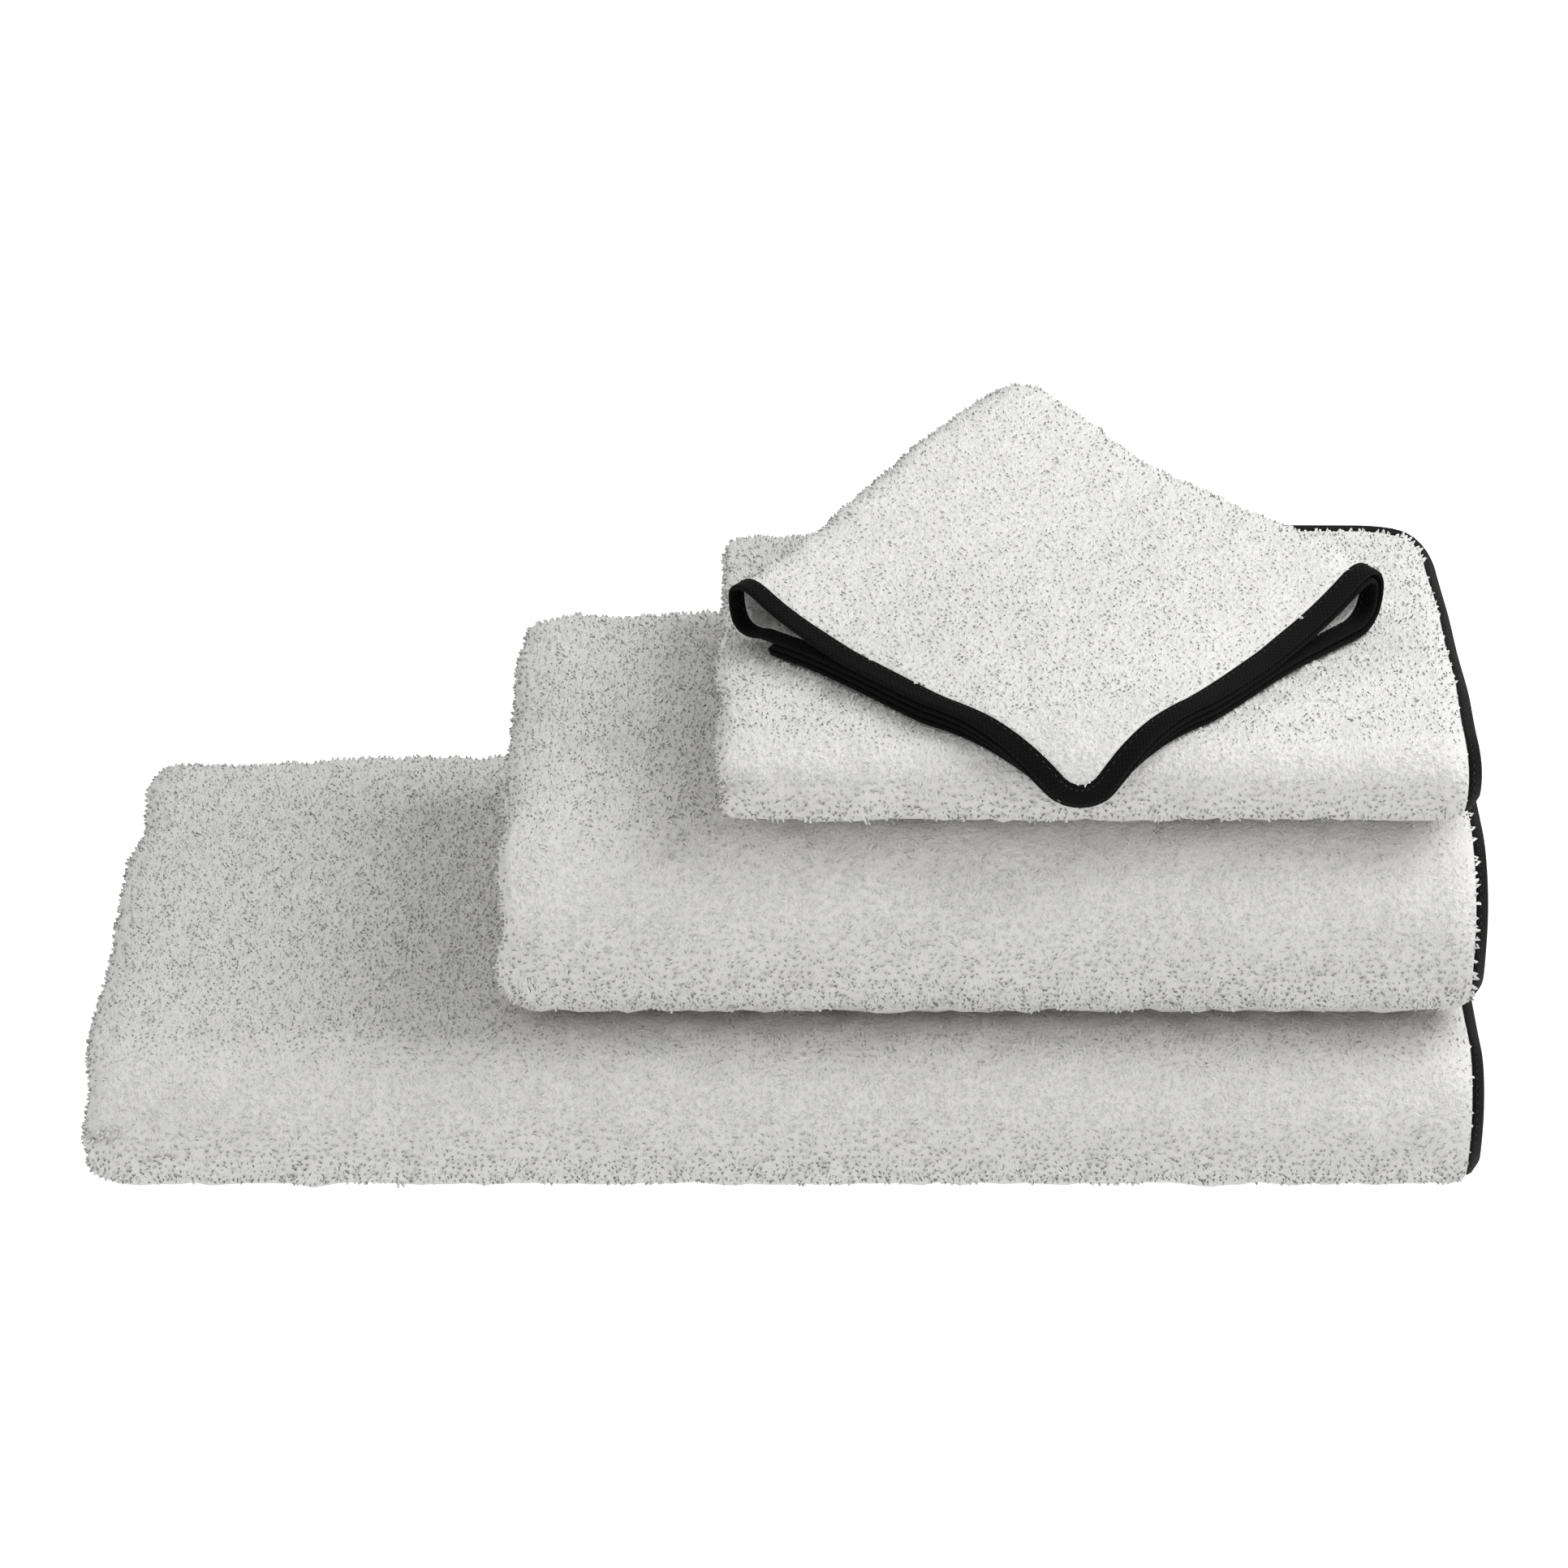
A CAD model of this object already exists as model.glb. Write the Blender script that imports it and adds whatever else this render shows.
"""Bath towel set: four bound terry cloths, folded and stacked, built cloth by cloth from the bottom."""

import math

import bpy
import mathutils
import numpy as np
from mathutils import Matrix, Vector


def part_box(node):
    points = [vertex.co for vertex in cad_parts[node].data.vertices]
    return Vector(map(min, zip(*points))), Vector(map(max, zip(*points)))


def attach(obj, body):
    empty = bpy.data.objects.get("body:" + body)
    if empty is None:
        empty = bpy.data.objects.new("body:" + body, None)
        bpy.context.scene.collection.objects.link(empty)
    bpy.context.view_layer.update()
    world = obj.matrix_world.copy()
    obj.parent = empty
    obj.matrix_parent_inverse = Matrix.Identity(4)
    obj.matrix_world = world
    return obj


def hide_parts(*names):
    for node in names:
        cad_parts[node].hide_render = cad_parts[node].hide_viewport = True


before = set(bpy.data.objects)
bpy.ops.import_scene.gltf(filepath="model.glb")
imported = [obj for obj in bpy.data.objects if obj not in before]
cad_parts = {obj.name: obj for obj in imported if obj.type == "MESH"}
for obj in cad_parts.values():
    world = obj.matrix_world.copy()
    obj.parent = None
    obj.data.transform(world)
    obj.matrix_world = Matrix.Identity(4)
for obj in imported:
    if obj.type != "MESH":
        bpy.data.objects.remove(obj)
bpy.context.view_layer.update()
MM = 0.001

# ---------------------------------------------------------------------------------------
# Camera: a long lens in front of the stack, looking slightly down on it.
# ---------------------------------------------------------------------------------------
LOOK_DOWN = math.radians(22.4)
DISTANCE = 2136 * MM
AIM_HEIGHT = 158.2 * MM
stack_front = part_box("bath_sheet_terry")[0].y
lens = bpy.data.cameras.new("camera")
lens.sensor_width = 36
lens.lens = 148.6
camera = bpy.data.objects.new("camera", lens)
camera.location = (0.65 * MM, stack_front - DISTANCE * math.cos(LOOK_DOWN),
                   AIM_HEIGHT + DISTANCE * math.sin(LOOK_DOWN))
camera.rotation_euler = (math.pi / 2 - LOOK_DOWN, 0, 0)
bpy.context.scene.collection.objects.link(camera)
bpy.context.scene.camera = camera


# ---------------------------------------------------------------------------------------
# Bath sheet, terry: the largest cloth, a looped cotton pile on a woven ground.  It is
# folded in half across its width, then in thirds and in half again along its length, so
# one smooth nose wraps all twelve layers at the front.
# ---------------------------------------------------------------------------------------
THIRDS_THEN_HALF = [3, 4, 6, 1, 2, 5]      # levels from the top, in the order the cloth runs
TAPE_WIDTH = 7.0 * MM
LIP = 1.0 * MM                 # half thickness of the terry where the tape grips it
PILE = 0.85 * MM               # height of the loops over the woven ground


def ripple(u, v, size, seed, waves=26):
    """Smooth noise of about -1 to 1 over two coordinates in metres.

    It is a sum of plane waves with seeded headings and phases, whose wavelengths lie
    between 0.6 and 1.7 times size.
    """
    draw = np.random.default_rng(seed)
    heading = draw.uniform(0, 2 * np.pi, waves)
    number = 2 * np.pi / (size * draw.uniform(0.6, 1.7, waves))
    phase = draw.uniform(0, 2 * np.pi, waves)
    total = np.zeros(np.broadcast(u, v).shape)
    for angle, k, start in zip(heading, number, phase):
        total += np.sin(k * (np.cos(angle) * u + np.sin(angle) * v) + start)
    return total * 0.9 / math.sqrt(waves)


def smooth(t):
    """Rises from 0 to 1 as t goes from 0 to 1, level at both ends."""
    t = np.clip(t, 0, 1)
    return t * t * (3 - 2 * t)


def quarter(t):
    """Drop of a quarter circle of radius 1 as t goes from 0 to 1."""
    return 1 - np.sqrt(1 - np.clip(t, 0, 1) ** 2)


class Cloth:
    """A bound cloth in its folded state.

    c runs across it from its lengthwise middle and s along it, in metres on the flat
    cloth.  place(c, s) is where its middle surface lies once folded, and side is 1 or -1
    so that the face at c > 0 that ends up outside is the positive one.  corner is the
    radius of its corners, and bound the thickness of its tape against a large towel's.
    """

    def __init__(self, half_width, length, thickness, place, side, corner=28 * MM, bound=1.0):
        self.half_width, self.length = half_width, length
        self.thickness, self.place, self.side = thickness, place, side
        self.corner, self.bound = corner, bound

    def edge_distance(self, c, s):
        """Distance in from the cloth's edge, a rectangle with rounded corners."""
        r = self.corner
        over_c = np.abs(c) - (self.half_width - r)
        over_s = np.abs(s - self.length / 2) - (self.length / 2 - r)
        outside = np.hypot(np.maximum(over_c, 0), np.maximum(over_s, 0))
        return r - outside - np.minimum(np.maximum(over_c, over_s), 0)

    def at(self, c, s, n):
        """Folded place of a point n off the middle surface, and the surface's normal there.

        The normal is the cross product of the two directions of the surface, each the
        difference of two places a tenth of a millimetre apart.
        """
        step = 0.05 * MM
        along_c = self.place(c + step, s) - self.place(c - step, s)
        along_s = self.place(c, s + step) - self.place(c, s - step)
        normal = self.side * np.cross(along_c, along_s)
        normal /= np.maximum(np.linalg.norm(normal, axis=-1, keepdims=True), 1e-12)
        return self.place(c, s) + np.asarray(n)[..., None] * normal, normal


def fold_runs(low, high, order):
    """The middle line of the doubled cloth in side view: straight runs and half turns.

    Each row holds where a run starts in y and z, its heading in y, its turn radius or 0,
    whether it climbs, and its length.  Turns alternate, front then back.  A level that
    ends inside a fold stops short of the back.
    """
    pitch = (high.z - low.z) / len(order)
    nose_y = low.y + (high.z - low.z) / 2
    level_z = [high.z - (level - 0.5) * pitch for level in order]
    tucked = 1.6 * pitch if order == THIRDS_THEN_HALF else 0
    rows = []
    y = high.y
    for i, (z, next_z) in enumerate(zip(level_z, level_z[1:])):
        radius = abs(z - next_z) / 2
        heading = 1 if i % 2 else -1
        turn_y = high.y - radius - pitch / 2 if i % 2 else nose_y
        rows.append((y, z, heading, 0, 0, abs(turn_y - y)))
        rows.append((turn_y, (z + next_z) / 2, heading, radius, np.sign(next_z - z),
                     math.pi * radius))
        y = turn_y
    rows.append((y, level_z[-1], 1, 0, 0, high.y - tucked - y))
    return np.array(rows)


def towel(node, order, left_round, front_slope, seed):
    """A cloth folded in half across, then along its length by order, in a CAD node's box.

    The doubled cloth's hairpin section is carried along the fold line, and the block is
    then settled: see settle below.
    """
    low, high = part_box(node + "_terry")
    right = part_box(node + "_binding")[1].x
    height = high.z - low.z
    pitch = height / len(order)
    runs = fold_runs(low, high, order)
    starts = np.concatenate([[0], np.cumsum(runs[:, 5])])
    bend = pitch / 4
    thickness = 0.76 * pitch / 2
    bend_x = low.x + bend + pitch / 4
    bend_arc = math.pi * bend / 2
    half_width = right - bend_x + bend_arc
    nose_y = low.y + height / 2
    middle_z = (low.z + high.z) / 2
    side = 1 if order.index(1) % 2 else -1

    def unsettled(c, s):
        """Across, a hairpin: two layers joined by a half turn; along, the fold line."""
        c, s = np.broadcast_arrays(np.asarray(c, float), np.asarray(s, float))
        turn = np.clip(c / bend, -math.pi / 2, math.pi / 2)
        x = bend_x - bend * np.cos(turn) + np.maximum(np.abs(c) - bend_arc, 0)
        m = side * bend * np.sin(turn)
        row = np.clip(np.searchsorted(starts, s, side="right") - 1, 0, len(runs) - 1)
        y0, z0, heading, radius, climb, _ = np.moveaxis(runs[row], -1, 0)
        gone = s - starts[row]
        curved = radius > 0
        angle = np.where(curved, gone / np.where(curved, radius, 1), 0)
        y = np.where(curved, y0 + heading * radius * np.sin(angle), y0 + heading * gone)
        z = np.where(curved, z0 - climb * radius * np.cos(angle), z0)
        run_y = np.where(curved, heading * np.cos(angle), heading)
        run_z = np.where(curved, climb * np.sin(angle), 0)
        return np.stack([x, y - m * run_z, z + m * run_y], -1)

    def settle(p):
        """Bends both ends towards the block's middle plane, and adds a little unevenness.

        On the right the last stretch of each layer turns through an arc whose angle grows
        with its distance from the middle, so the thin bound edges close up.  On the left
        the folds are drawn in by up to 0.28 of that distance over left_round, and the top
        of the nose is lower by front_slope of its height than the block behind it.  The
        top also drops at the back left, so its end tape does not show from the front.
        """
        back_drop = 6 * MM
        x, y, z = np.moveaxis(p, -1, 0)
        front = np.minimum(y - nose_y, 0)
        up = z - middle_z
        out = np.maximum(np.hypot(front, up), 1e-9)
        reach = 15 * MM                      # length of the bent stretch on the right
        outermost = 1.25                     # radians that the outermost layer turns there
        last = np.maximum(outermost * out / (height / 2), 1e-6)
        gone = np.maximum(x - (right - reach), 0)
        angle = np.maximum(last * gone / reach, 1e-6)
        drop = gone * (1 - np.cos(angle)) / angle
        spare = reach * (1 - np.sin(last) / last)
        x = x - gone + gone * np.sin(angle) / angle
        x = x + spare * smooth((p[..., 0] - (right - 95 * MM)) / (80 * MM))
        share = 1 - drop / out
        share = share * (1 - 0.28 * quarter((low.x + left_round - x) / left_round))
        share = share * (1 - front_slope * smooth((nose_y + 42 * MM - y) / (50 * MM)) * (up > 0))
        y = y + front * (np.where(up > 0, 1 - drop / out, share) - 1)
        z = middle_z + up * share
        near_left = smooth((low.x + 60 * MM - x) / (60 * MM))
        near_right = smooth((x - right + 40 * MM) / (40 * MM))
        x = x + near_left * 1.4 * MM * (1 + ripple(y, z * 3, 90 * MM, seed))
        x = x + near_left * 14 * MM * quarter((y - high.y + 26 * MM) / (30 * MM))
        x = x + near_right * 0.4 * MM * ripple(y, z * 2, 80 * MM, seed + 1)
        z = z + (z - low.z) / height * 0.5 * MM * (ripple(x, y, 130 * MM, seed + 2) - 1)
        to_back = smooth((y - high.y + 16 * MM) / (15 * MM))
        back_left = smooth((low.x + 80 * MM - x) / (55 * MM)) * to_back
        z = z - back_drop * back_left * (z - low.z) / height
        return np.stack([x, y, z], -1)

    cloth = Cloth(half_width, starts[-1], thickness, lambda c, s: settle(unsettled(c, s)), side)
    cloth.unsettled, cloth.settle = unsettled, settle
    cloth.low, cloth.high, cloth.right, cloth.nose_y = low, high, right, nose_y
    cloth.starts, cloth.runs, cloth.bend_arc, cloth.order = starts, runs, bend_arc, order
    cloth.pitch = pitch
    return cloth


def stations(stops):
    """Places from stop to stop: each item is a place and the step size up to the next."""
    parts = [np.linspace(a, b, max(1, round((b - a) / step)) + 1)[:-1]
             for (a, step), (b, _) in zip(stops, stops[1:]) if b - a > 1e-7]
    return np.concatenate(parts + [[stops[-1][0]]])


def across_stations(cloth, fine, coarse):
    """Across the cloth: close at the edges and the middle fold, fine on the outer half."""
    w, arc = cloth.half_width, cloth.bend_arc
    rim = np.array([1, 4, 7.0, 7.5, 8.1, 9.0, 10.5, 13, 17, 22, 27]) * MM
    body = stations([(-w + rim[-1], coarse), (-arc, arc / 6), (arc, fine), (w - rim[-1], 0)])
    return np.concatenate([-w + rim[:-1], body, w - rim[-2::-1]])


def along_stations(cloth, fine, coarse):
    """Along the cloth: close at the ends and in the turns, fine where it shows on top."""
    rim = np.array([1, 3, 5, 7, 7.7, 8.7, 10.4, 13, 16, 19, 23, 28]) * MM
    stops = [(rim[-1], coarse)]
    for i, (start, run) in enumerate(zip(cloth.starts, cloth.runs)):
        if run[3] > 0:
            outer = run[3] > 0.3 * (cloth.high.z - cloth.low.z)
            stops.append((start, min(3.2 * MM, run[5] / 10) if outer else run[5] / 9))
        elif i:
            stops.append((start, fine if cloth.order[i // 2] == 1 else coarse))
    stops.append((cloth.length - rim[-1], 0))
    if cloth.order[0] == 1:
        stops[0] = (rim[-1], fine)
    return np.concatenate([rim[:-1], stations(stops), cloth.length - rim[-2::-1]])


def quads(index):
    """The four corners of every cell of a grid of vertex numbers."""
    cells = [index[:-1, :-1], index[1:, :-1], index[1:, 1:], index[:-1, 1:]]
    return np.stack(cells, -1).reshape(-1, 4)


def build(name, points, faces, flat=None):
    """A smooth-shaded mesh piece; flat, a place in metres on the flat cloth for each corner
    of each face, becomes its UV map."""
    mesh = bpy.data.meshes.new(name)
    mesh.vertices.add(len(points))
    mesh.vertices.foreach_set("co", np.asarray(points, np.float32).ravel())
    sides = faces.shape[1]
    mesh.loops.add(faces.size)
    mesh.loops.foreach_set("vertex_index", faces.astype(np.int32).ravel())
    mesh.polygons.add(len(faces))
    mesh.polygons.foreach_set("loop_start", np.arange(0, faces.size, sides, dtype=np.int32))
    mesh.polygons.foreach_set("use_smooth", np.ones(len(faces), bool))
    if flat is not None:
        layer = mesh.uv_layers.new(name="cloth")
        layer.data.foreach_set("uv", np.asarray(flat, np.float32).ravel())
    mesh.update(calc_edges=True)
    mesh.validate()
    piece = bpy.data.objects.new(name, mesh)
    bpy.context.scene.collection.objects.link(piece)
    return piece


def clumps(c, s, seed):
    """How far the pile swells: soft clumps of 7 and 20 mm."""
    return 0.42 * MM * ripple(c, s, 7 * MM, seed) + 0.5 * MM * ripple(c, s, 20 * MM, seed + 1)


def terry_piece(name, cloth, across, along, seed):
    """A closed sheet: two faces over one grid of c and s, joined round the edge.

    Rows near the ends are drawn in to the rounded corners.  The half thickness is LIP
    under the tape and rises by a quarter round, over 3 mm, to that of the cloth.
    """
    c, s = np.meshgrid(across, along, indexing="ij")
    from_end = np.minimum(s, cloth.length - s)
    inset = cloth.corner * quarter(1 - from_end / cloth.corner)
    spread = smooth((np.abs(c) - (cloth.half_width - 90 * MM)) / (80 * MM))
    c = c - np.sign(c) * inset * spread
    depth = cloth.edge_distance(c, s)
    rise = 1 - quarter(1 - (depth - TAPE_WIDTH) / (3 * MM))
    lip = LIP * cloth.bound
    half = lip + (cloth.thickness / 2 - lip) * np.where(depth < TAPE_WIDTH, 0, rise)
    swell = clumps(c, s, seed) * smooth((depth - TAPE_WIDTH) / (4 * MM))
    upper = cloth.at(c, s, half + swell)[0]
    under = cloth.at(c, s, -half)[0]
    index = np.arange(c.size).reshape(c.shape)
    ring = np.concatenate([index[:-1, 0], index[-1, :-1], index[:0:-1, -1], index[0, :0:-1]])
    after = np.roll(ring, -1)
    top = quads(index)
    wall = np.stack([after, ring, ring + c.size, after + c.size], -1)
    faces = np.concatenate([top, top[:, ::-1] + c.size, wall])
    if cloth.side < 0:
        faces = faces[:, ::-1]
    points = np.concatenate([upper.reshape(-1, 3), under.reshape(-1, 3)])
    flat = np.tile(np.stack([c, s], -1).reshape(-1, 2), (2, 1))
    return build(name, points, faces, flat[faces])


def outside_depth(cloth, p):
    """How far a place in the unsettled block is outside it, negative inside.

    The block is a box whose front is a half cylinder; its right-hand side is left open.
    """
    height = cloth.high.z - cloth.low.z
    front = np.minimum(p[..., 1] - cloth.nose_y, 0)
    nose = np.hypot(front, p[..., 2] - (cloth.low.z + cloth.high.z) / 2) - height / 2
    return np.maximum.reduce([nose, p[..., 1] - cloth.high.y, cloth.low.x - p[..., 0]])


def loop_mesh(name, foot, up, run, height, half_length, radius, lean, softness):
    """Short loops of yarn, each a bent three-sided tube over its own foot.

    The centre line goes from one end, sunk half a millimetre, up to the top and down to
    the other end; the ends are half_length either side of the foot along run, and the
    top is moved by lean.  Rings of three points stand across it at those three places.
    Normals are turned towards up by the share softness, as in a fibrous pile that takes
    light all through.
    """
    across = np.cross(up, run)
    sunk = foot - up * 0.5 * MM
    reach = run * half_length[:, None]
    centres = [sunk - reach, foot + up * height[:, None] + lean, sunk + reach]
    turn = 2 * np.pi * np.arange(3)[:, None, None] / 3
    rings = [centre + radius[:, None] * (np.cos(turn) * facing + np.sin(turn) * across)
             for centre, facing in zip(centres, [run, -up, -run])]
    points = np.stack(rings).transpose(2, 0, 1, 3).reshape(-1, 3)
    ring, k = np.divmod(np.arange(6), 3)
    here, after = 3 * ring + k, 3 * ring + (k + 1) % 3
    triangles = np.concatenate([np.stack([here, after, after + 3], -1),
                                np.stack([here, after + 3, here + 3], -1),
                                [[0, 2, 1], [6, 7, 8]]])
    faces = 9 * np.arange(len(foot))[:, None, None] + triangles
    piece = build(name, points, faces.reshape(-1, 3))
    facing = unit(np.stack([ring - centre for ring, centre in zip(rings, centres)]))
    soft = unit(facing * (1 - softness) + up * softness).transpose(2, 0, 1, 3).reshape(-1, 3)
    piece.data.normals_split_custom_set_from_vertices(soft)
    return piece


def unit(v):
    """Vectors scaled to length 1."""
    return v / np.maximum(np.linalg.norm(v, axis=-1, keepdims=True), 1e-12)


def loops_on(name, cloth, c, s, face, flatness, seed):
    """A loop of pile at each c, s of one face; they lean together in clumps, and over the
    tape where they stand beside it.  flatness 0 is standing pile, 1 pile pressed flat."""
    draw = np.random.default_rng(seed)
    swell = clumps(c, s, cloth.seed) * (face > 0)
    foot, normal = cloth.at(c, s, face * cloth.thickness / 2 + swell)
    up = normal * face[:, None]
    lean = np.stack([ripple(c, s, 14 * MM, seed + 5), ripple(c, s, 11 * MM, seed + 6),
                     ripple(c, s, 14 * MM, seed + 7)], -1) * 0.55 * MM
    lean += draw.normal(0, 0.2 * MM, lean.shape)
    tiny = 0.2 * MM
    depth = cloth.edge_distance(c, s)
    out_c = depth - cloth.edge_distance(c + tiny, s)
    out_s = depth - cloth.edge_distance(c, s + tiny)
    outward = unit(cloth.place(c + out_c, s + out_s) - cloth.place(c, s))
    beside = np.exp(-((depth - TAPE_WIDTH - 0.6 * MM) / (1.3 * MM)) ** 2)
    lean += outward * (beside * draw.uniform(0.2 * MM, 1.5 * MM, len(c)))[:, None]
    lean -= up * np.sum(lean * up, -1, keepdims=True)
    spin = draw.normal(size=lean.shape)
    run = unit(spin - up * np.sum(spin * up, -1, keepdims=True))
    height = PILE * draw.uniform(0.75, 1.1, len(c)) * (1 - 0.45 * flatness)
    half_length = draw.uniform(0.45 * MM, 0.8 * MM, len(c)) * (1 + 0.4 * flatness)
    radius = draw.uniform(0.42 * MM, 0.56 * MM, len(c))
    piece = loop_mesh(name, foot, up, run, height, half_length, radius, lean, 0.8)
    piece.visible_shadow = False         # light passes through a loop's fibres to the next
    return piece


def pile(cloth, name, seed, cover):
    """Loops over every part of a towel that faces outwards, as one piece for each side.

    Feet stand on a jittered grid of the flat cloth.  One is kept where a point 2.5 mm off
    its face is near the outside of the block, unless it faces straight down.  Where
    cover(x, y) says that the cloth above lies, the pile is thinner and pressed.
    """
    draw = np.random.default_rng(seed)
    rim = TAPE_WIDTH + 0.5 * MM
    c, s = np.meshgrid(np.arange(rim - cloth.half_width, cloth.half_width - rim, SPACING),
                       np.arange(rim, cloth.length - rim, SPACING), indexing="ij")
    c = c.ravel() + draw.uniform(-0.4, 0.4, c.size) * SPACING
    s = s.ravel() + draw.uniform(-0.4, 0.4, s.size) * SPACING
    chance = draw.uniform(0, 1, c.size)
    inside = cloth.edge_distance(c, s) > TAPE_WIDTH + 0.3 * MM
    c, s, chance = c[inside], s[inside], chance[inside]
    raw = Cloth(cloth.half_width, cloth.length, cloth.thickness, cloth.unsettled, cloth.side)
    c, s, chance = np.tile(c, 2), np.tile(s, 2), np.tile(chance, 2)
    face = np.repeat([1.0, -1.0], len(c) // 2)
    foot, normal = raw.at(c, s, face * cloth.thickness / 2)
    up = normal * face[:, None]
    shown = (outside_depth(cloth, foot + 2.5 * MM * up) > -1.2 * MM) & (up[:, 2] > -0.8)
    x, y = foot[:, 0], foot[:, 1]
    ragged = draw.uniform(-9 * MM, 9 * MM, (2, len(x)))
    pressed = (up[:, 2] > 0.7) & cover(x + ragged[0], y + ragged[1])
    folds = np.abs(c) < cloth.bend_arc
    areas = {"under_next": pressed & (chance < 0.5), "front": ~pressed & (y < cloth.nose_y),
             "folds": ~pressed & (y >= cloth.nose_y) & folds,
             "back": ~pressed & ~folds & (y > cloth.high.y - cloth.pitch),
             "top": ~pressed & ~folds & (y >= cloth.nose_y) & (y <= cloth.high.y - cloth.pitch)}
    made = []
    for number, (area, members) in enumerate(areas.items()):
        kept = shown & members
        if kept.any():
            made.append(loops_on(f"{name}_pile_{area}", cloth, c[kept], s[kept], face[kept],
                                 1.0 if area == "under_next" else 0.0, seed + 20 * number))
    return made


def footprint(node):
    """Whether a place lies under a folded block, a little inside its rounded sides."""
    low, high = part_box(node)
    nose = low.y + 0.28 * (high.z - low.z)
    return lambda x, y: (x > low.x + 5 * MM) & (y > nose) & (y < high.y - 4 * MM)


def linear(code):
    """An sRGB hex colour as the linear RGBA that a shader takes."""
    parts = [int(code[i:i + 2], 16) / 255 for i in (1, 3, 5)]
    return [p / 12.92 if p <= 0.04045 else ((p + 0.055) / 1.055) ** 2.4 for p in parts] + [1.0]


def add(tree, kind, inputs=None, **settings):
    """Adds one node, sets it up, and sets or links its inputs by name."""
    made = tree.nodes.new(kind)
    for key, value in settings.items():
        setattr(made, key, value)
    for key, value in (inputs or {}).items():
        if isinstance(value, bpy.types.NodeSocket):
            tree.links.new(value, made.inputs[key])
        else:
            made.inputs[key].default_value = value
    return made


def finish(name):
    """An empty node material and its tree."""
    material = bpy.data.materials.new(name)
    material.use_nodes = True
    material.node_tree.nodes.clear()
    return material, material.node_tree


# The woven ground and the feet of the loops: white cotton, loop-textured 1.9 mm apart, near
# the pile's own spacing, a little creamier in soft patches, with no shine but a soft sheen.
terry_white, tree = finish("white cotton terry, looped")
place = add(tree, "ShaderNodeTexCoord").outputs["Object"]
patches = add(tree, "ShaderNodeTexNoise", {"Vector": place, "Scale": 60.0, "Detail": 3.0})
tint = add(tree, "ShaderNodeValToRGB", {"Fac": patches.outputs["Fac"]})
tint.color_ramp.elements[0].position = 0.35
tint.color_ramp.elements[0].color = linear("#ECEBE8")
tint.color_ramp.elements[1].position = 0.65
tint.color_ramp.elements[1].color = linear("#F2F1EF")
cells = add(tree, "ShaderNodeTexVoronoi", {"Vector": place, "Scale": 1 / 0.0019})
fuzz = add(tree, "ShaderNodeTexNoise", {"Vector": place, "Scale": 1 / 0.0007, "Detail": 2.0})
heights = add(tree, "ShaderNodeMath", {0: fuzz.outputs["Fac"], 1: cells.outputs["Distance"]},
              operation="SUBTRACT")
relief = add(tree, "ShaderNodeBump", {"Height": heights.outputs[0], "Strength": 0.7,
                                      "Distance": 0.9 * MM})
shader = add(tree, "ShaderNodeBsdfPrincipled", {
    "Base Color": tint.outputs["Color"], "Roughness": 0.95, "Specular IOR Level": 0.15,
    "Sheen Weight": 0.25, "Sheen Roughness": 0.6, "Normal": relief.outputs["Normal"]})
add(tree, "ShaderNodeOutputMaterial", {"Surface": shader.outputs[0]})

# Pile yarn: the same cotton, spun and left uncut; its fibres show as a fine roughness.
pile_white, tree = finish("white cotton pile yarn")
place = add(tree, "ShaderNodeTexCoord").outputs["Object"]
fibres = add(tree, "ShaderNodeTexNoise", {"Vector": place, "Scale": 1 / 0.0004, "Detail": 2.0})
relief = add(tree, "ShaderNodeBump", {"Height": fibres.outputs["Fac"], "Strength": 0.4,
                                      "Distance": 0.2 * MM})
shader = add(tree, "ShaderNodeBsdfPrincipled", {
    "Base Color": linear("#F2F2F0"), "Roughness": 0.95, "Specular IOR Level": 0.15,
    "Sheen Weight": 0.25, "Sheen Roughness": 0.6, "Normal": relief.outputs["Normal"]})
add(tree, "ShaderNodeOutputMaterial", {"Surface": shader.outputs[0]})

SPACING = 2.1 * MM                                # from one loop's foot to the next
sheet_fine, sheet_coarse = 4.5 * MM, 14 * MM      # mesh steps where it shows, where it does not
bath_sheet = towel("bath_sheet", THIRDS_THEN_HALF, left_round=14 * MM, front_slope=0.1, seed=11)
bath_sheet.seed = 101
across = across_stations(bath_sheet, sheet_fine, sheet_coarse)
along = along_stations(bath_sheet, sheet_fine, sheet_coarse)
sheet_terry = terry_piece("bath_sheet_cloth", bath_sheet, across, along, bath_sheet.seed)
sheet_terry.data.materials.append(terry_white)
sheet_pile = pile(bath_sheet, "bath_sheet", 500, cover=footprint("bath_towel_terry"))
for piece in sheet_pile:
    piece.data.materials.append(pile_white)
for piece in [sheet_terry, *sheet_pile]:
    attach(piece, "bath_sheet")
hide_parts("bath_sheet_terry")


# ---------------------------------------------------------------------------------------
# Bath sheet, binding: a black plain-woven cotton bias tape, pressed in half over the edge
# of the terry all round, with its own edges turned in, so its inner rim is a little proud.
# ---------------------------------------------------------------------------------------

def tape_profile():
    """Half of the tape's section, from its inner rim over one face to the fold, then mirrored
    and closed by the inside: distance in from the edge, and height off the middle."""
    rim = [(6.92, 1.15), (7.0, 1.45), (6.8, 1.68), (6.2, 1.74), (5.7, 1.66), (5.3, 1.66),
           (4.7, 1.72), (4.1, 1.58), (3.2, 1.52), (2.4, 1.5)]
    turn = np.radians([75, 50, 25])
    fold = [(1.5 - 1.5 * math.cos(a), 1.5 * math.sin(a)) for a in turn]
    face = np.array(rim + fold)
    inside = [(0.9, -1.05), (0.9, 1.05)]
    return np.concatenate([face, [(0, 0)], face[::-1] * [1, -1], inside]) * MM


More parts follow.
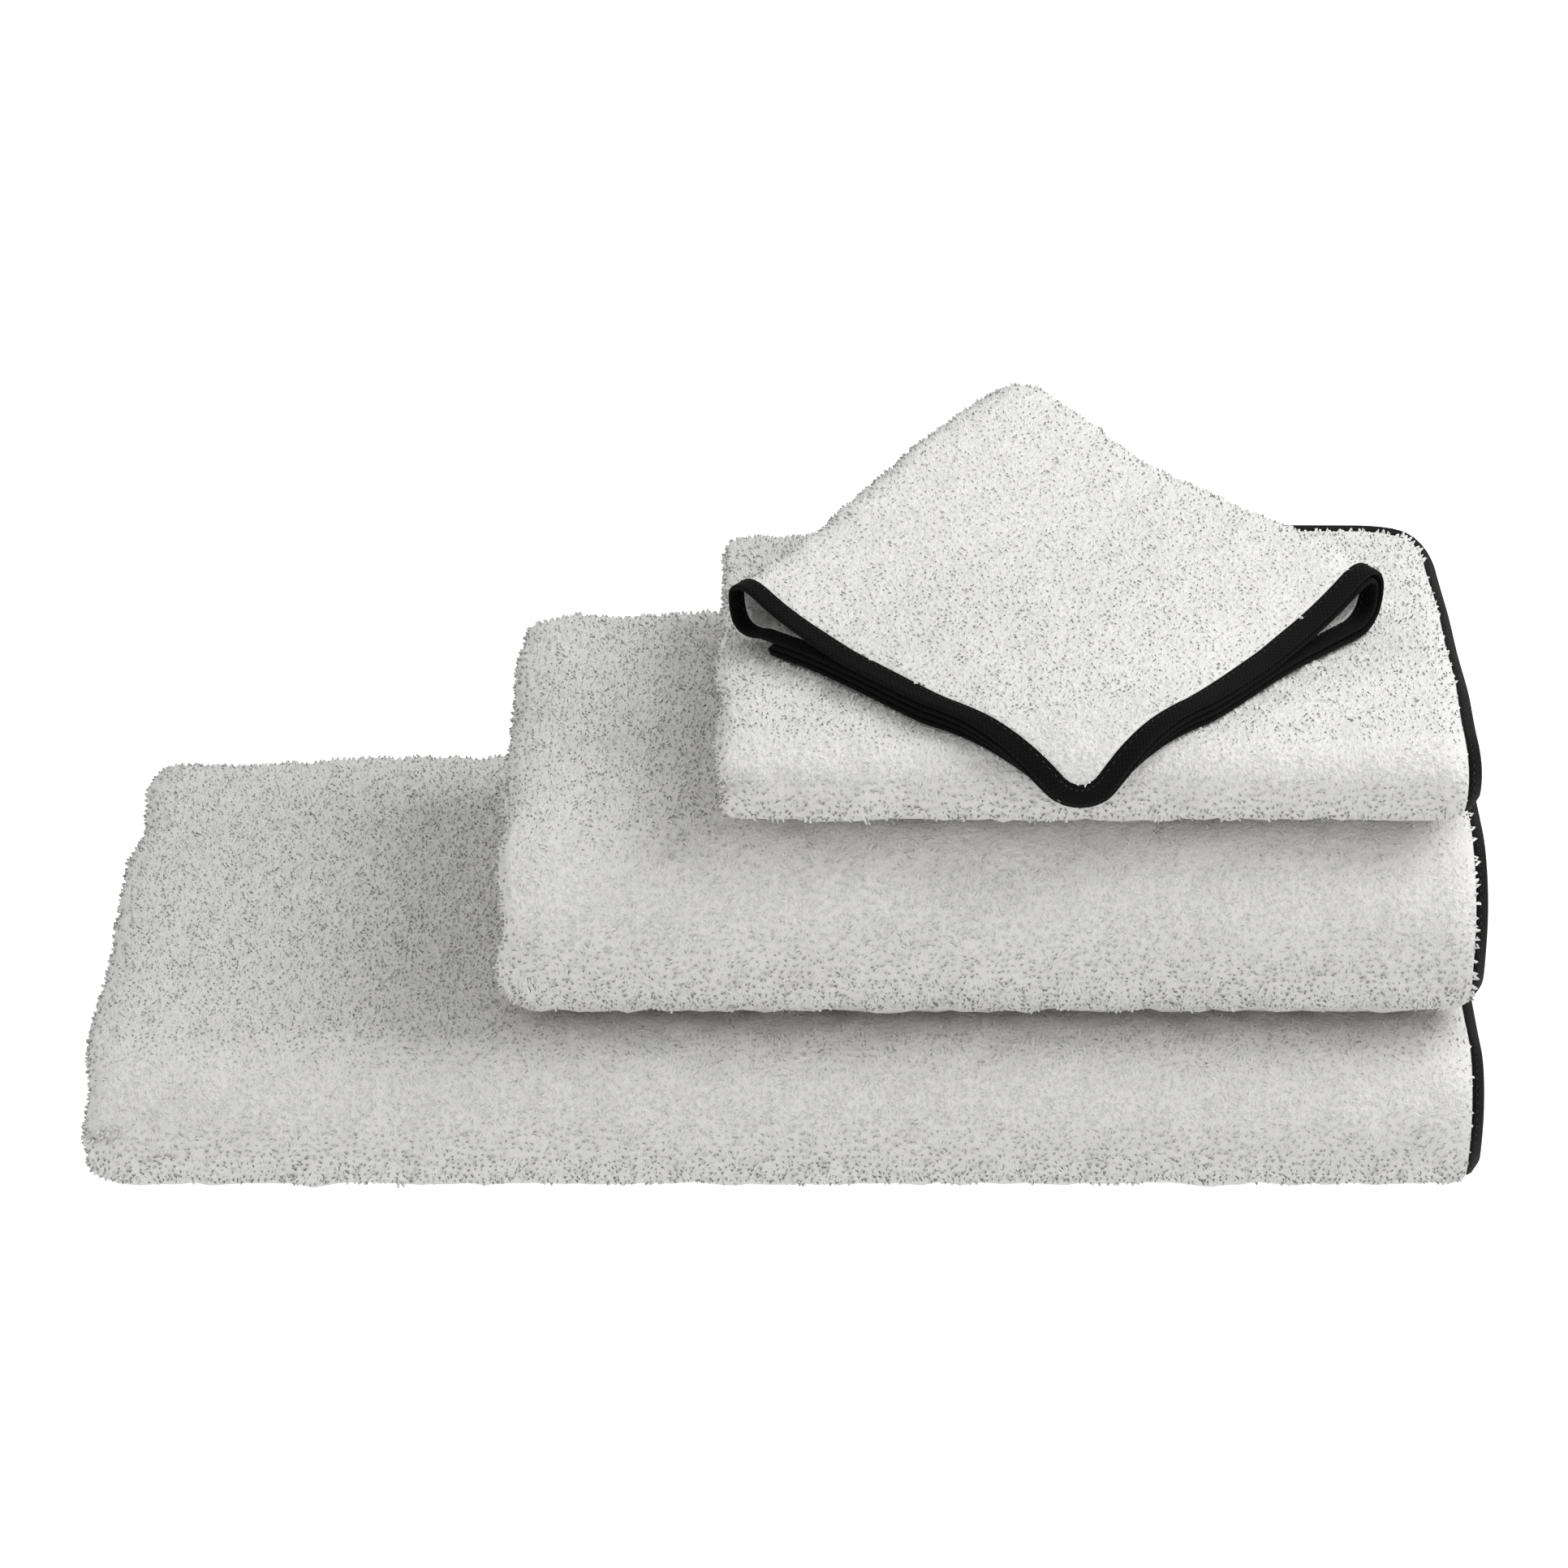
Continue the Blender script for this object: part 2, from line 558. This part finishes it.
def edge_line(cloth, across, along):
    """Stations round the cloth's edge: c and s there, the way in, and the length so far."""
    w, length, r = cloth.half_width - cloth.corner, cloth.length, cloth.corner
    s = np.concatenate([[r], along[(along > r) & (along < length - r)], [length - r]])
    c = np.concatenate([[-w], across[(across > -w) & (across < w)], [w]])
    bow = np.linspace(0, math.pi / 2, 11)[1:-1]
    sides = [(np.full(len(s), w + r), s, 0), (c[::-1], np.full(len(c), length), 1),
             (np.full(len(s), -w - r), s[::-1], 2), (c, np.zeros(len(c)), 3)]
    corners = [(w, length - r), (-w, length - r), (-w, r), (w, r)]
    rows = []
    for (side_c, side_s, number), (mid_c, mid_s) in zip(sides, corners):
        facing = number * math.pi / 2
        rows.append(np.stack([side_c, side_s, np.full(len(side_c), -math.cos(facing)),
                              np.full(len(side_c), -math.sin(facing))], -1))
        turn = facing + bow
        rows.append(np.stack([mid_c + r * np.cos(turn), mid_s + r * np.sin(turn),
                              -np.cos(turn), -np.sin(turn)], -1))
    c, s, in_c, in_s = np.concatenate(rows).T
    steps = np.hypot(np.diff(c, append=c[0]), np.diff(s, append=s[0]))
    return c, s, in_c, in_s, np.concatenate([[0], np.cumsum(steps)])


def binding_piece(name, cloth, line):
    """The tape's closed section carried all round the edge; its UV map is in metres."""
    c, s, in_c, in_s, gone = line
    profile = tape_profile()
    inset, height = profile[:, 0, None], profile[:, 1, None] * cloth.bound
    points = cloth.at(c + in_c * inset, s + in_s * inset, height + 0 * c)[0]
    index = np.arange(points[..., 0].size).reshape(points.shape[:2])
    faces = quads(np.pad(index, ((0, 1), (0, 1)), mode="wrap"))
    ring = np.hypot(*np.diff(profile, axis=0, append=profile[:1]).T)
    girth = np.concatenate([[0], np.cumsum(ring)])
    flat = np.stack(np.broadcast_arrays(gone[None, :], girth[:, None]), -1)
    number = np.arange(flat[..., 0].size).reshape(flat.shape[:2])
    corners = flat.reshape(-1, 2)[quads(number)]
    if cloth.side < 0:
        faces, corners = faces[:, ::-1], corners[:, ::-1]
    return build(name, points.reshape(-1, 3), faces, corners)


# Bias-cut cotton tape: a plain weave that runs at 40 degrees to its length.  Its threads are under
# 0.3 mm, too fine to show, so they are drawn 0.7 mm apart.  Dull black, with grey lint.
tape_black, tree = finish("black cotton bias tape, plain weave")
flat = add(tree, "ShaderNodeTexCoord").outputs["UV"]
turned = add(tree, "ShaderNodeMapping", {"Vector": flat, "Rotation": (0, 0, math.radians(40)),
                                         "Scale": (1 / 0.0007, 1 / 0.0007, 1.0)})
warp = add(tree, "ShaderNodeTexWave", {"Vector": turned.outputs[0], "Scale": 0.16,
                                       "Distortion": 1.2, "Detail": 2.0,
                                       "Detail Scale": 1.5}, bands_direction="X")
weft = add(tree, "ShaderNodeTexWave", {"Vector": turned.outputs[0], "Scale": 0.16,
                                       "Distortion": 1.2, "Detail": 2.0,
                                       "Detail Scale": 1.5}, bands_direction="Y")
threads = add(tree, "ShaderNodeMath", {0: warp.outputs["Fac"], 1: weft.outputs["Fac"]},
              operation="MULTIPLY")
spots = add(tree, "ShaderNodeTexNoise", {"Vector": flat, "Scale": 900.0, "Detail": 4.0,
                                         "Roughness": 0.8})
lint = add(tree, "ShaderNodeValToRGB", {"Fac": spots.outputs["Fac"]})
lint.color_ramp.elements[0].position = 0.66
lint.color_ramp.elements[0].color = (0, 0, 0, 1)
lint.color_ramp.elements[1].position = 0.74
lint.color_ramp.elements[1].color = (1, 1, 1, 1)
weave = add(tree, "ShaderNodeMix", {"Factor": threads.outputs[0], "A": linear("#040405"),
                                    "B": linear("#0F0F11")}, data_type="RGBA")
dusty = add(tree, "ShaderNodeMix", {"Factor": lint.outputs["Color"],
                                    "A": weave.outputs["Result"], "B": linear("#323236")},
            data_type="RGBA")
relief = add(tree, "ShaderNodeBump", {"Height": threads.outputs[0], "Strength": 0.8,
                                      "Distance": 0.25 * MM})
shader = add(tree, "ShaderNodeBsdfPrincipled", {
    "Base Color": dusty.outputs["Result"], "Roughness": 0.85, "Specular IOR Level": 0.12,
    "Sheen Weight": 0.02, "Sheen Roughness": 0.5, "Normal": relief.outputs["Normal"]})
add(tree, "ShaderNodeOutputMaterial", {"Surface": shader.outputs[0]})

sheet_edge = edge_line(bath_sheet, across, along)
sheet_binding = binding_piece("bath_sheet_tape", bath_sheet, sheet_edge)
sheet_binding.data.materials.append(tape_black)
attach(sheet_binding, "bath_sheet")
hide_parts("bath_sheet_binding")


# ---------------------------------------------------------------------------------------
# Bath sheet, stitching: black spun thread, one lock-stitched row through both sides of
# the tape, 5.5 mm in from the edge, that holds it on the terry.
# ---------------------------------------------------------------------------------------
STITCH_INSET = 5.5 * MM
STITCH_PITCH = 3.0 * MM


def stitching_piece(name, cloth, line):
    """Short arches of thread at equal steps round the edge, on both faces of the tape."""
    c, s, in_c, in_s, gone = line
    places = np.arange(0, gone[-1] - STITCH_PITCH / 2, STITCH_PITCH)
    c, s, in_c, in_s = (np.interp(places, gone, np.append(v, v[0]))
                        for v in (c, s, in_c, in_s))
    scale = np.hypot(in_c, in_s)
    in_c, in_s = in_c / scale, in_s / scale
    c, s = c + in_c * STITCH_INSET, s + in_s * STITCH_INSET
    c, s, in_c, in_s = (np.tile(v, 2) for v in (c, s, in_c, in_s))
    face = np.repeat([1.0, -1.0], len(places))
    foot, normal = cloth.at(c, s, face * 1.62 * MM * cloth.bound)
    up = normal * face[:, None]
    tiny = 0.2 * MM
    run = unit(cloth.place(c + in_s * tiny, s - in_c * tiny) - cloth.place(c, s))
    run = unit(run - up * np.sum(run * up, -1, keepdims=True))
    same = np.ones(len(c))
    return loop_mesh(name, foot, up, run, same * 0.2 * MM, same * 1.15 * MM, same * 0.26 * MM,
                     0 * foot, 0.0)


# Spun polyester thread: two plies, slightly shinier than the cotton tape.
thread_black, tree = finish("black spun sewing thread")
place = add(tree, "ShaderNodeTexCoord").outputs["Object"]
plies = add(tree, "ShaderNodeTexNoise", {"Vector": place, "Scale": 1 / 0.0003, "Detail": 1.0})
relief = add(tree, "ShaderNodeBump", {"Height": plies.outputs["Fac"], "Strength": 0.5,
                                      "Distance": 0.1 * MM})
shader = add(tree, "ShaderNodeBsdfPrincipled", {
    "Base Color": linear("#0E0E10"), "Roughness": 0.6, "Normal": relief.outputs["Normal"]})
add(tree, "ShaderNodeOutputMaterial", {"Surface": shader.outputs[0]})

sheet_stitching = stitching_piece("bath_sheet_stitches", bath_sheet, sheet_edge)
sheet_stitching.data.materials.append(thread_black)
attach(sheet_stitching, "bath_sheet")
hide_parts("bath_sheet_stitching")


# ---------------------------------------------------------------------------------------
# Bath towel: the same terry, tape and thread on a smaller cloth, folded in the same six
# levels but fluffier, so it is the thickest block.  It lies flush with the right edge.
# ---------------------------------------------------------------------------------------
def bound_towel(body, cloth, fine, coarse, seed, cover):
    """Terry, pile, tape and stitches of one folded towel, riding on its CAD body."""
    cloth.seed = seed
    across = across_stations(cloth, fine, coarse)
    along = along_stations(cloth, fine, coarse)
    terry = terry_piece(body + "_cloth", cloth, across, along, seed)
    loops = pile(cloth, body, seed + 400, cover)
    line = edge_line(cloth, across, along)
    tape = binding_piece(body + "_tape", cloth, line)
    stitches = stitching_piece(body + "_stitches", cloth, line)
    terry.data.materials.append(terry_white)
    tape.data.materials.append(tape_black)
    stitches.data.materials.append(thread_black)
    for piece in loops:
        piece.data.materials.append(pile_white)
    for piece in [terry, tape, stitches, *loops]:
        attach(piece, body)
    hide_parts(body + "_terry")
    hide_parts(body + "_binding")
    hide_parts(body + "_stitching")


bath_towel = towel("bath_towel", THIRDS_THEN_HALF, left_round=17 * MM, front_slope=0.1, seed=23)
bound_towel("bath_towel", bath_towel, fine=4.2 * MM, coarse=14 * MM, seed=201,
            cover=footprint("hand_towel_terry"))


# ---------------------------------------------------------------------------------------
# Hand towel: folded in half across, then in half twice, four double levels.  It is the
# shallowest block, and the wash cloth hangs over its nose.
# ---------------------------------------------------------------------------------------
HALF_THEN_HALF = [1, 4, 3, 2]
wash_low, wash_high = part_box("wash_cloth_terry")
wash_middle = (wash_low + wash_high) / 2


def under_wash_cloth(x, y):
    """Whether a place lies under the wash cloth, a square standing on its corner."""
    across, along = (wash_high.x - wash_low.x) / 2, (wash_high.y - wash_low.y) / 2
    return np.abs(x - wash_middle.x) / across + np.abs(y - wash_middle.y) / along < 0.9


hand_towel = towel("hand_towel", HALF_THEN_HALF, left_round=12 * MM, front_slope=0.25, seed=37)
bound_towel("hand_towel", hand_towel, fine=4.0 * MM, coarse=12 * MM, seed=301,
            cover=under_wash_cloth)


# ---------------------------------------------------------------------------------------
# Wash cloth: a 350 mm square of the same terry and tape, folded in half and in half again
# without pressing, so its left fold stands open as one loop and its right fold as two
# nested loops.  It lies corner-on, and its open corner hangs over the hand towel's nose.
# ---------------------------------------------------------------------------------------
WASH_HALF = 175 * MM
SQUEEZED = 1.15 * MM           # half the spacing of two layers where they lie together
LOWEST = 1.9 * MM              # middle of the lowest layer, over the hand towel
CORNER = np.array([99.3, -54.0]) * MM        # where its open sides would meet, see below
TO_LEFT = unit(np.array([-0.70, 0.713]))
TO_RIGHT = unit(np.array([0.63, 0.776]))
DRAWN_IN = 26 * MM             # how far the lower pair's left fold lies in from the upper's
ROUND_NOSE = 0.62              # part of its run that a layer goes round the nose

# The hand towel's outline in side view, from its back over the top and round the nose,
# measured along itself from the start of the nose: the wash cloth is laid off that line.
nose_turn = np.linspace(0, 2.4, 60)
nose_radius = (hand_towel.high.z - hand_towel.low.z) / 2
back_run = np.linspace(hand_towel.high.y + 30 * MM, hand_towel.nose_y, 120)[:-1]
side_y = np.concatenate([back_run, hand_towel.nose_y - nose_radius * np.sin(nose_turn)])
side_z = np.concatenate([np.full(len(back_run), hand_towel.high.z),
                         hand_towel.high.z - nose_radius * (1 - np.cos(nose_turn))])
side_x = np.full(len(side_y), CORNER[0])
_, side_y, side_z = hand_towel.settle(np.stack([side_x, side_y, side_z], -1)).T
side_run = np.concatenate([[0], np.cumsum(np.hypot(np.diff(side_y), np.diff(side_z)))])
side_run = side_run - side_run[len(back_run)]

# Height of the top layer over the hand towel along its two folds, from the back corner.
along_left = np.array([(0, 52), (0.2, 55), (0.42, 50), (0.58, 41), (0.81, 33), (1, 30.5)])
along_right = np.array([(0, 52), (0.11, 51), (0.34, 42), (0.5, 38), (0.8, 34.5), (1, 30.5)])
left_crest = np.polyfit(*along_left.T, 4)
right_crest = np.polyfit(*along_right.T, 4)


def wash_top(a, b):
    """Height of the top layer's middle, at distances a and b from the two folds.

    The product of the two folds' heights over the squeezed one, fading towards the open
    corner; along each open side it is gone 64 or 72 mm from the fold.
    """
    flat = LOWEST + 6 * SQUEEZED
    high = (np.polyval(left_crest, b / WASH_HALF) * MM - flat) \
        * (np.polyval(right_crest, a / WASH_HALF) * MM - flat) / (52 * MM - flat)
    fade = np.exp(-1.9 * a * b / WASH_HALF ** 2)
    open_left = 1 - (b / WASH_HALF) ** 4 * (1 - np.maximum(0, 1 - a / (64 * MM)) ** 1.2)
    open_right = 1 - (a / WASH_HALF) ** 4 * (1 - np.maximum(0, 1 - b / (72 * MM)) ** 1.2)
    return flat + high * fade * open_left * open_right


def half_gap(a, b, q):
    """Half the spacing of the two layers joined by the left fold, a away from it: wide at
    the fold in the upper pair, where q is positive, and squeezed in the lower pair.  The
    upper pair stays above the lower one except in the last 22 mm, which reaches past it."""
    close = SQUEEZED + 0.6 * MM * np.maximum(0, 1 - b / (60 * MM))
    shut = np.maximum(0, 1 - a / (66 * MM))
    wide = close + (13 * MM - close) * shut * smooth((q + 45 * MM) / (60 * MM))
    room = (wash_top(a, b) - LOWEST - 4 * SQUEEZED) / 2
    past = 2.2 * SQUEEZED * np.maximum(0, 1 - a / (22 * MM))
    return np.where(q > 0, np.minimum(wide, room + past), wide)


def wash_place(c, s):
    """Where the wash cloth's middle surface lies.

    p and q run from its two folds.  Across the right fold the doubled cloth makes a half
    turn of radius turn from the lower pair to the upper; across the left one each pair is
    a hairpin, laid off that line along its normal.  The y of that flat packet is then a
    distance along the hand towel's side outline, where 0 is the start of its nose, and
    heights stand square to the outline.  In front of 0 only ROUND_NOSE of that distance
    is used, and the lower pair's left fold is drawn in by DRAWN_IN, so those parts of the
    cloth are a little shorter than on the flat.
    """
    p, q = np.broadcast_arrays(np.asarray(c, float), np.asarray(s, float) - WASH_HALF)
    a, b = np.abs(p), np.abs(q)
    gap = half_gap(a, b, q)
    fold_gap = half_gap(0, b, q)
    top = wash_top(a, b) - half_gap(a, b, b)
    bottom = LOWEST + half_gap(a, b, -b)
    turn = (wash_top(a, 0) - 2 * half_gap(a, 0, 0) - LOWEST) / 2
    round_q = np.minimum(b / turn, math.pi / 2)
    in_b = np.where(b < turn * math.pi / 2, turn * (1 - np.cos(round_q)),
                    b - turn * (math.pi / 2 - 1))
    height = (top + bottom) / 2 + np.sign(q) * (top - bottom) / 2 * np.sin(round_q)
    round_p = np.minimum(a / fold_gap, math.pi / 2)
    in_a = np.where(a < fold_gap * math.pi / 2, fold_gap * (1 - np.cos(round_p)),
                    a - fold_gap * (math.pi / 2 - 1))
    m = np.sign(p) * gap * np.sin(round_p)
    height = height + m * np.sign(q) * np.sin(round_q)
    reach_a = WASH_HALF - fold_gap * (math.pi / 2 - 1) - in_a
    reach_b = WASH_HALF - turn * (math.pi / 2 - 1) - in_b + m * np.cos(round_q)
    lower = smooth(-q / (40 * MM))
    reach_a = reach_a - DRAWN_IN * lower * smooth((reach_a - 75 * MM) / (100 * MM))
    flat = CORNER + reach_a[..., None] * TO_LEFT + reach_b[..., None] * TO_RIGHT
    x, run = flat[..., 0], -flat[..., 1]
    height = height + 0.6 * MM * ripple(x, run, 60 * MM, 71) * np.minimum(a, b) / WASH_HALF
    top_layer = smooth(p / (30 * MM)) * smooth(q / (30 * MM))
    run = np.where(run > 0, run * (ROUND_NOSE - 0.03 * top_layer), run)
    step = 0.5 * MM
    here = np.stack([np.interp(run, side_run, side_y), np.interp(run, side_run, side_z)], -1)
    ahead_y, ahead_z = (np.interp(run + step, side_run, v) - np.interp(run - step, side_run, v)
                        for v in (side_y, side_z))
    length = np.hypot(ahead_y, ahead_z)
    y = here[..., 0] + height * ahead_z / length
    z = here[..., 1] - height * ahead_y / length
    return np.stack([x, y, z], -1)


wash_cloth = Cloth(WASH_HALF, 2 * WASH_HALF, 2.0 * MM, wash_place, -1, 16 * MM, 0.64)
wash_cloth.seed = 401
rim = np.array([0.7, 4, 7.0, 7.5, 8.1, 9.0, 10.4, 13, 16, 20, 25]) * MM
half_line = stations([(0, 1.7 * MM), (32 * MM, 3.8 * MM), (WASH_HALF - rim[-1], 0)])
half_line = np.concatenate([half_line, WASH_HALF - rim[-2::-1]])
wash_line = np.concatenate([-half_line[:0:-1], half_line])
wash_terry = terry_piece("wash_cloth_cloth", wash_cloth, wash_line, wash_line + WASH_HALF, 401)
wash_terry.data.materials.append(terry_white)


def wash_pile(seed):
    """Loops on the top layer and round both folds, and inside the open loops as far as
    they can be seen into."""
    draw = np.random.default_rng(seed)
    reach = WASH_HALF - TAPE_WIDTH - 0.5 * MM
    p, q = np.meshgrid(np.arange(-reach, reach, SPACING), np.arange(-reach, reach, SPACING))
    p = np.tile(p.ravel() + draw.uniform(-0.4, 0.4, p.size) * SPACING, 2)
    q = np.tile(q.ravel() + draw.uniform(-0.4, 0.4, q.size) * SPACING, 2)
    face = np.repeat([1.0, -1.0], len(p) // 2)
    inside = wash_cloth.edge_distance(p, q + WASH_HALF) > TAPE_WIDTH + 0.3 * MM
    outer = (face > 0) & (p > -10 * MM) & (q > -28 * MM)
    left_loop = (face < 0) & (np.abs(p) < 55 * MM) & (q > WASH_HALF - 60 * MM)
    right_loop = (face > 0) & (p < -WASH_HALF + 60 * MM) & (np.abs(q) < 60 * MM)
    nested = (face < 0) & (np.abs(p) > WASH_HALF - 40 * MM) & (np.abs(q) < 40 * MM)
    made = []
    for number, (area, members) in enumerate({
            "top": outer, "left_loop": left_loop & ~outer,
            "right_loop": (right_loop | nested) & ~outer}.items()):
        kept = inside & members
        made.append(loops_on("wash_cloth_pile_" + area, wash_cloth, p[kept],
                             q[kept] + WASH_HALF, face[kept], 0.0, seed + 20 * number))
    return made


wash_loops = wash_pile(900)
wash_edge = edge_line(wash_cloth, wash_line, wash_line + WASH_HALF)
wash_binding = binding_piece("wash_cloth_tape", wash_cloth, wash_edge)
wash_binding.data.materials.append(tape_black)
wash_stitching = stitching_piece("wash_cloth_stitches", wash_cloth, wash_edge)
wash_stitching.data.materials.append(thread_black)
for piece in wash_loops:
    piece.data.materials.append(pile_white)
for piece in [wash_terry, wash_binding, wash_stitching, *wash_loops]:
    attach(piece, "wash_cloth")
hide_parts("wash_cloth_terry")
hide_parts("wash_cloth_binding")
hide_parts("wash_cloth_stitching")


# ---------------------------------------------------------------------------------------
# Stage: a plain pale floor, a soft key light from the right, and a white surround.
# ---------------------------------------------------------------------------------------
floor_white, tree = finish("matt white studio floor")
shader = add(tree, "ShaderNodeBsdfPrincipled", {
    "Base Color": linear("#EEEEEE"), "Roughness": 1.0, "Specular IOR Level": 0.0,
    "Emission Color": (1, 1, 1, 1), "Emission Strength": 0.72})
add(tree, "ShaderNodeOutputMaterial", {"Surface": shader.outputs[0]})
REACH = 30.0
corners = np.array([(-REACH, -REACH, 0), (REACH, -REACH, 0), (REACH, REACH, 0), (-REACH, REACH, 0)])
floor = build("floor", corners, np.array([[0, 1, 2, 3]]))
floor.data.materials.append(floor_white)
floor.visible_diffuse = False        # the surround lights the cloths from below instead

# The surround lights the cloths evenly, a little more from the floor in front of them,
# and is seen white.
world = bpy.data.worlds.new("studio")
world.use_nodes = True
tree = world.node_tree
tree.nodes.clear()
heading = add(tree, "ShaderNodeTexCoord", {}).outputs["Generated"]
ahead = add(tree, "ShaderNodeVectorMath", {0: heading, 1: (0, -0.6, -0.8)}, operation="DOT_PRODUCT")
strength = add(tree, "ShaderNodeMapRange", {"Value": ahead.outputs["Value"], "From Min": -1.0,
                                            "From Max": 1.0, "To Min": 0.5, "To Max": 0.95})
light = add(tree, "ShaderNodeBackground", {"Color": (1, 1, 1, 1), "Strength": strength.outputs[0]})
seen = add(tree, "ShaderNodeBackground", {"Color": (1, 1, 1, 1), "Strength": 1.0})
ray = add(tree, "ShaderNodeLightPath", {}).outputs["Is Camera Ray"]
both = add(tree, "ShaderNodeMixShader", {0: ray, 1: light.outputs[0], 2: seen.outputs[0]})
add(tree, "ShaderNodeOutputWorld", {"Surface": both.outputs[0]})
bpy.context.scene.world = world

# A soft box close by on the right and a little in front, so the light falls off across
# the stack from the wash cloth to the left end of the bath sheet.
TRAVEL = unit(np.array([-0.88, 0.15, -1.0]))           # the way the key light goes
KEY_AWAY = 0.9                                         # metres from the stack
key_data = bpy.data.lights.new("key", "AREA")
key_data.shape = "DISK"
key_data.size = 0.8
key_data.energy = 5.4
key = bpy.data.objects.new("key", key_data)
key.location = np.array([0.1, -0.02, 0.2]) - TRAVEL * KEY_AWAY
key.rotation_euler = mathutils.Vector(TRAVEL).to_track_quat("-Z", "Y").to_euler()
bpy.context.scene.collection.objects.link(key)
bpy.context.scene.view_settings.view_transform = "Standard"
